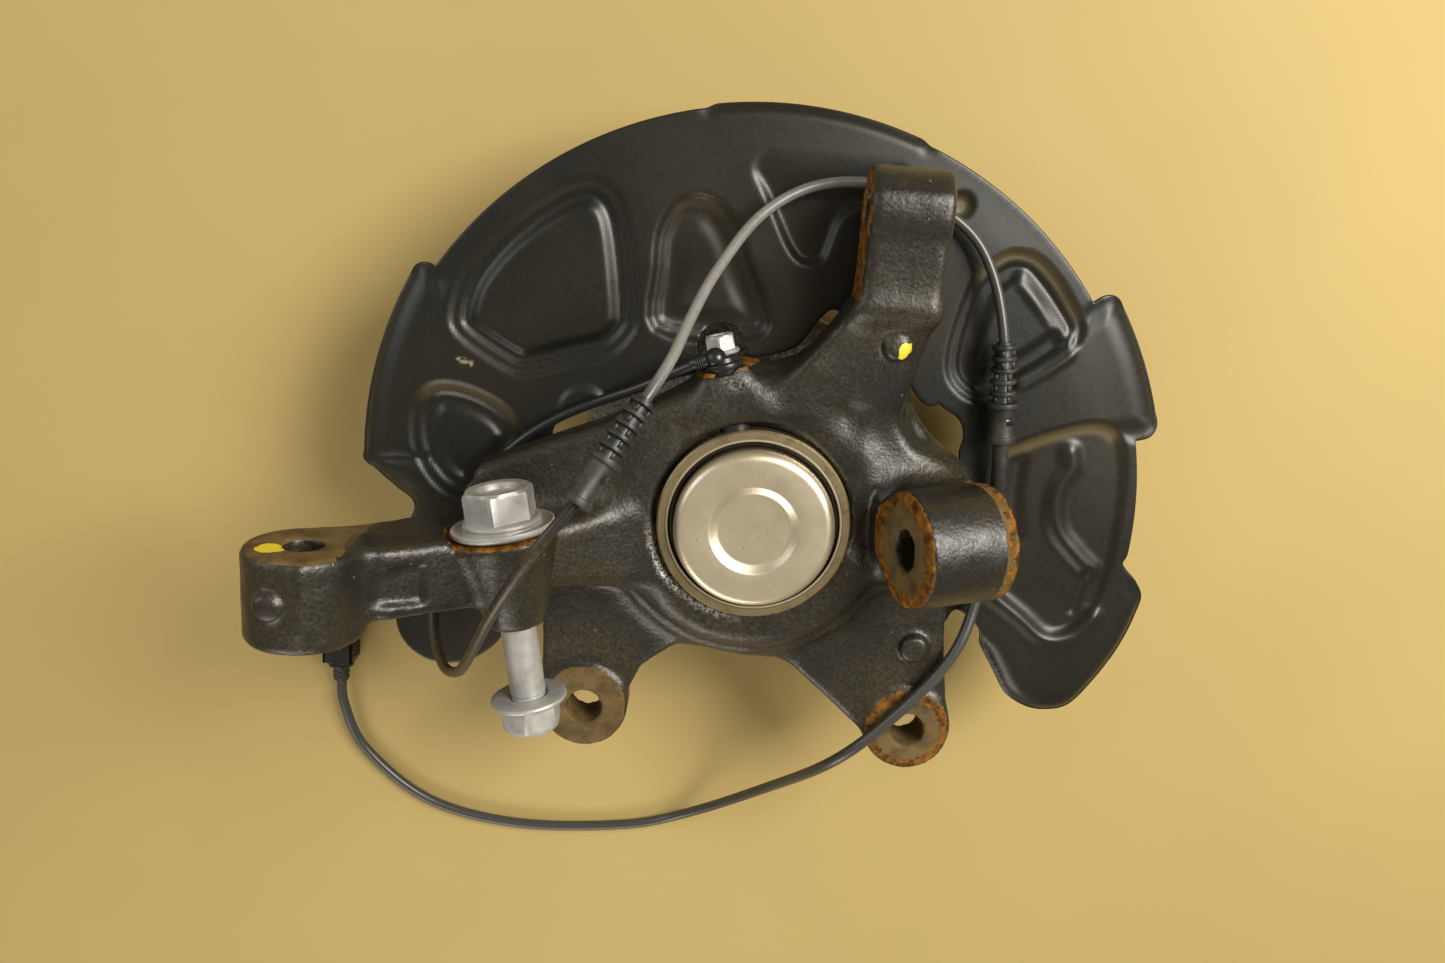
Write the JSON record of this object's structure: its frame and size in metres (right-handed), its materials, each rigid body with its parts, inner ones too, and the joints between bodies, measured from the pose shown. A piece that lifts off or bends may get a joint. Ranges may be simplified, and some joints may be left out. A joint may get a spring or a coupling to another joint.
{
  "type": "wheel carrier assembly",
  "caption": "Cast wheel carrier with hub, ball bearing, pressed dust shield, wheel speed sensor on its lead, and a loose link bolt and nut",
  "frame": {"origin": "centre of the hub's wheel face, on the hub axis", "axes": "+Z along the hub axis towards the vehicle, +X along the line of the two caliper lugs, +Y from the caliper lugs towards the upper link eye"},
  "size_m": [0.335, 0.3256, 0.16],
  "materials": {
    "cast_black": "black coating over a sand-cast surface, semi-gloss, machined faces bare and rusted",
    "shield_black": "smooth black coating on pressed sheet, semi-gloss",
    "bearing_steel": "turned bare steel with a thin brown film",
    "cap_steel": "drawn sheet steel, satin and slightly warm",
    "hub_zinc": "zinc flake coating, matt and speckled",
    "zinc_plate": "zinc flake coating, matt silver grey",
    "ball_chrome": "polished bearing steel",
    "black_plastic": "moulded, slight sheen",
    "cage_plastic": "glass-filled polyamide, natural",
    "black_rubber": "moulded rubber, matt",
    "lead_jacket": "smooth extruded jacket, dusty",
    "terminal_brass": "tinned brass pins"
  },
  "bodies": {
    "carrier": {"knuckle": "cast_black", "bearing_outer_ring": "bearing_steel", "retaining_ring": "bearing_steel", "outboard_seal": "black_rubber", "bearing_cap": "cap_steel", "dust_shield": "shield_black", "shield_screws": "zinc_plate", "speed_sensor": "black_plastic", "sensor_bush": "bearing_steel", "sensor_oring": "black_rubber", "sensor_bolt": "zinc_plate", "sensor_lead": "lead_jacket", "lead_sleeve": "black_rubber", "grommet_rear": "black_rubber", "grommet_front": "black_rubber", "plug_housing": "black_plastic", "plug_seal": "black_rubber", "plug_terminals": "terminal_brass"},
    "hub": {"hub_flange": "hub_zinc", "inner_ring": "bearing_steel", "tone_ring": "black_rubber"},
    "ball_train": {"balls_outboard": "ball_chrome", "balls_inboard": "ball_chrome", "cage_outboard": "cage_plastic", "cage_inboard": "cage_plastic"},
    "washer_slide": {"link_washer": "zinc_plate"},
    "bolt_spin": {"link_bolt": "zinc_plate"},
    "nut_travel": {"link_nut": "zinc_plate"}
  },
  "joints": [
    {"name": "hub_spin", "type": "hinge", "parent": "carrier", "child": "hub", "pos_m": [0, 0, 0], "axis": [0, 0, 1], "continuous": true},
    {"name": "ball_train_spin", "type": "hinge", "parent": "carrier", "child": "ball_train", "pos_m": [0, 0, 0], "axis": [0, 0, 1], "continuous": true},
    {"name": "link_bolt_slide", "type": "slide", "parent": "carrier", "child": "washer_slide", "axis": [-0.1736, 0.9848, 0], "range_m": [0, 0.012]},
    {"name": "link_bolt_spin", "type": "hinge", "parent": "washer_slide", "child": "bolt_spin", "pos_m": [-0.083, 0, 0.108], "axis": [-0.1736, 0.9848, 0], "continuous": true},
    {"name": "link_nut_travel", "type": "slide", "parent": "bolt_spin", "child": "nut_travel", "axis": [-0.1736, 0.9848, 0], "range_m": [0, 0.012]}
  ],
  "couplings": [
    {"joint": "ball_train_spin", "follows": "hub_spin", "ratio": 0.407}
  ]
}
